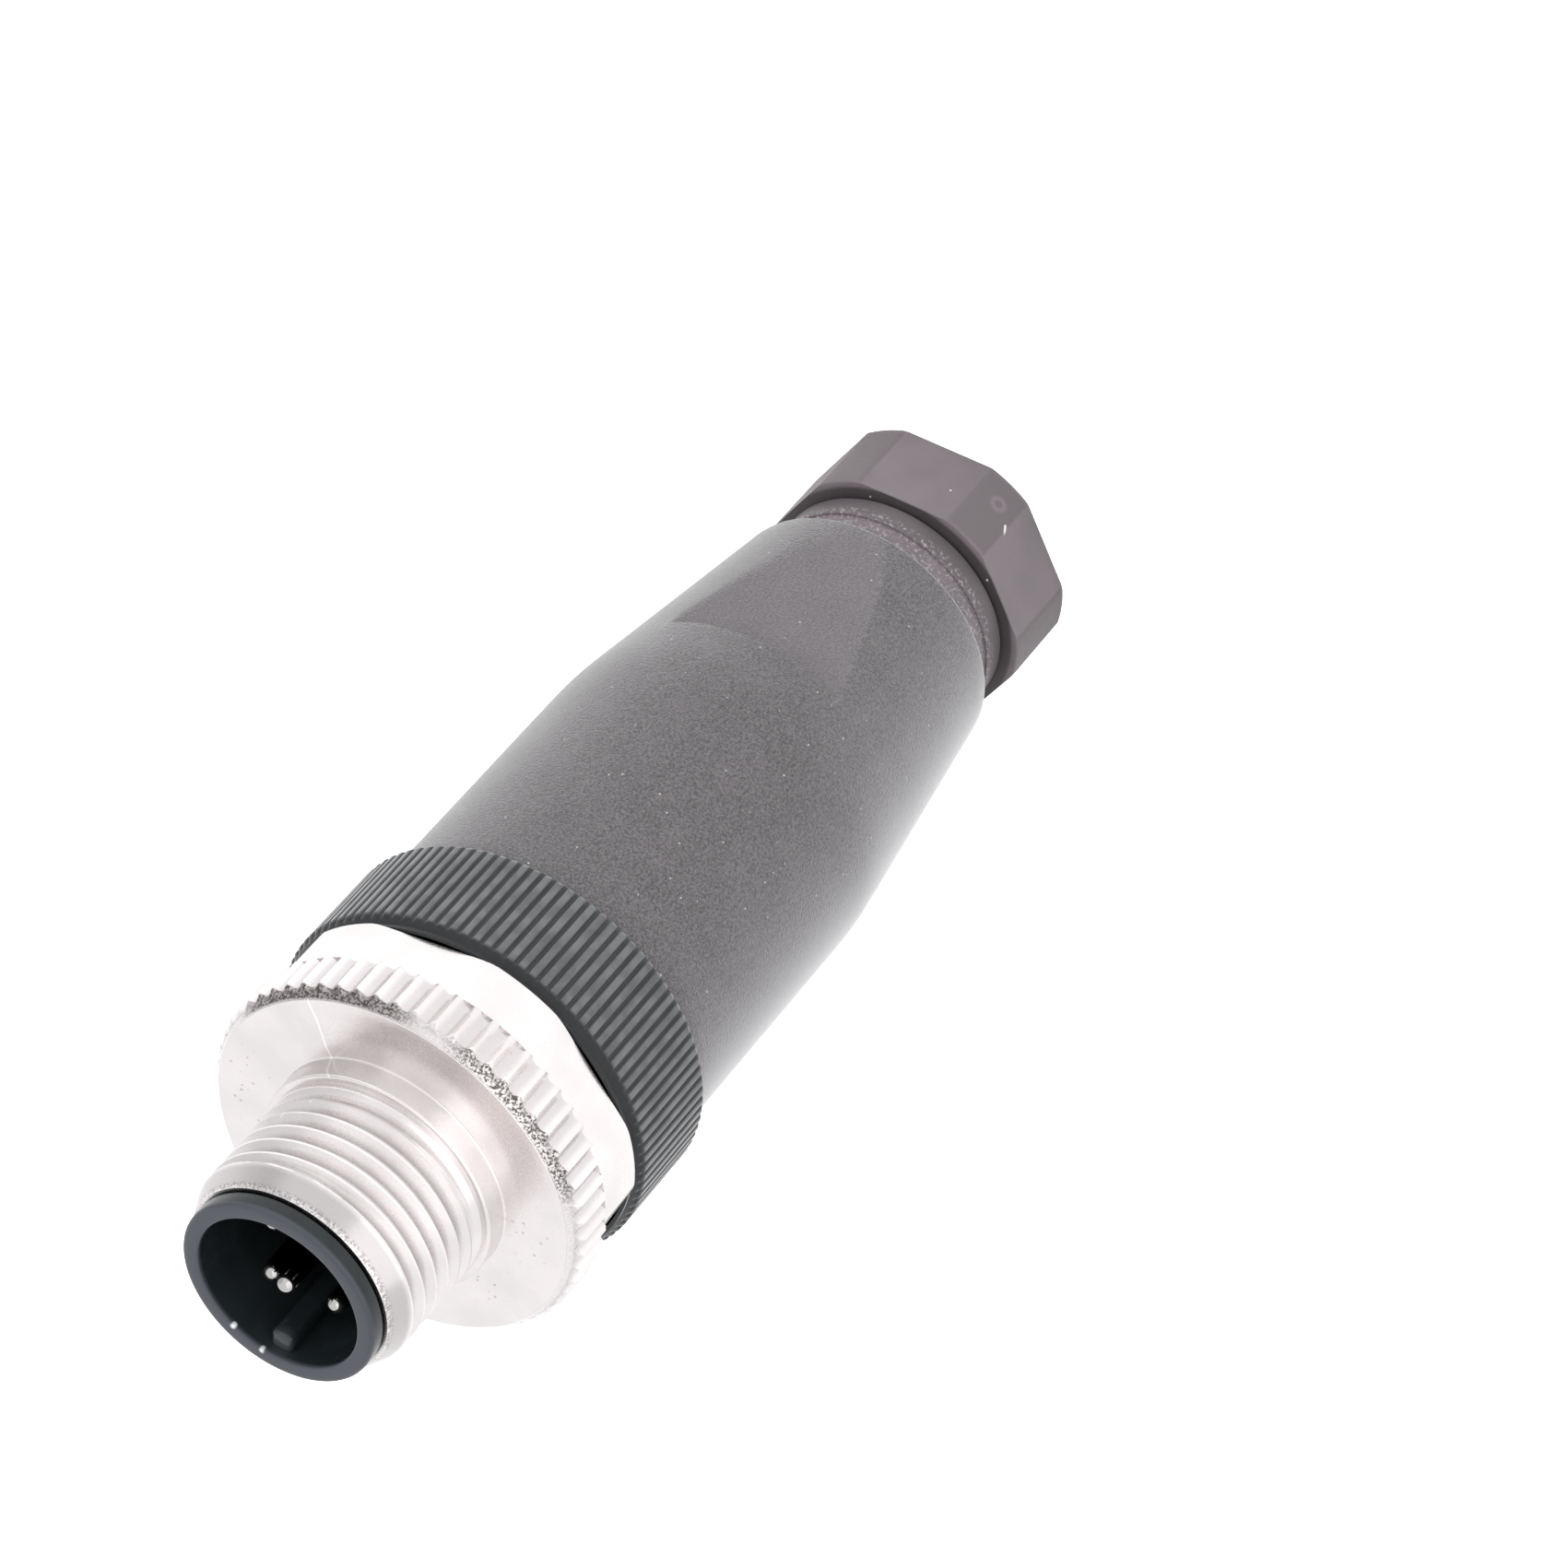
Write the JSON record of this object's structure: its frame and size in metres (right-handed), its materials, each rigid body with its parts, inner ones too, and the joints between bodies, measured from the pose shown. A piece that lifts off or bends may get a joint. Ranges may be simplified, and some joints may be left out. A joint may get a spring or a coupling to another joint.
{
  "type": "M12 circular connector plug",
  "caption": "Straight field-wired circular plug: metal coupling screw with knurl and outer thread, ribbed contact carrier with pins, tapered sleeve, hexagonal gland screw.",
  "frame": {"origin": "centre of the flat rear end of the pressing screw, on the plug's axis", "axes": "+Z along the axis from the cable end to the mating face, +Y towards the coding key and one spanner flat, +X completes the frame"},
  "size_m": [0.0204, 0.0204, 0.0622],
  "materials": {
    "plated_metal": "satin",
    "carrier_plastic": "satin",
    "sleeve_plastic": "matte",
    "contact_metal": "polished",
    "screw_steel": "satin",
    "seal_rubber": "matte",
    "cage_plastic": "matte"
  },
  "bodies": {
    "sleeve": {"housing_sleeve": "sleeve_plastic"},
    "carrier_seal": {"carrier_o_ring": "seal_rubber"},
    "carrier": {"contact_carrier": "carrier_plastic", "contact_1": "contact_metal", "contact_2": "contact_metal", "contact_3": "contact_metal", "contact_4": "contact_metal", "contact_5": "contact_metal", "terminal_screw_1": "screw_steel", "terminal_screw_2": "screw_steel", "terminal_screw_3": "screw_steel", "terminal_screw_4": "screw_steel", "terminal_screw_5": "screw_steel"},
    "coupling": {"coupling_screw": "plated_metal"},
    "gland_stack": {"clamp_cage": "cage_plastic", "cable_seal": "seal_rubber"},
    "gland_screw": {"pressing_screw": "sleeve_plastic"}
  },
  "joints": [
    {"name": "carrier_travel", "type": "slide", "parent": "sleeve", "child": "carrier_seal", "axis": [0, 0, 1], "range_m": [0, 0.005]},
    {"name": "carrier_turn", "type": "hinge", "parent": "carrier_seal", "child": "carrier", "pos_m": [0, 0, 0.0353], "axis": [0, 0, 1], "range_deg": [0, 1800]},
    {"name": "coupling_spin", "type": "hinge", "parent": "carrier", "child": "coupling", "pos_m": [0, 0, 0.054], "axis": [0, 0, 1], "continuous": true},
    {"name": "gland_travel", "type": "slide", "parent": "sleeve", "child": "gland_stack", "axis": [0, 0, -1], "range_m": [-0.0018, 0.0032]},
    {"name": "gland_turn", "type": "hinge", "parent": "gland_stack", "child": "gland_screw", "pos_m": [0, 0, 0.009], "axis": [0, 0, -1], "range_deg": [-648, 1152]}
  ],
  "couplings": [
    {"joint": "carrier_turn", "follows": "carrier_travel", "rad_per_m": 6283.2},
    {"joint": "gland_turn", "follows": "gland_travel", "rad_per_m": 6283.2}
  ]
}
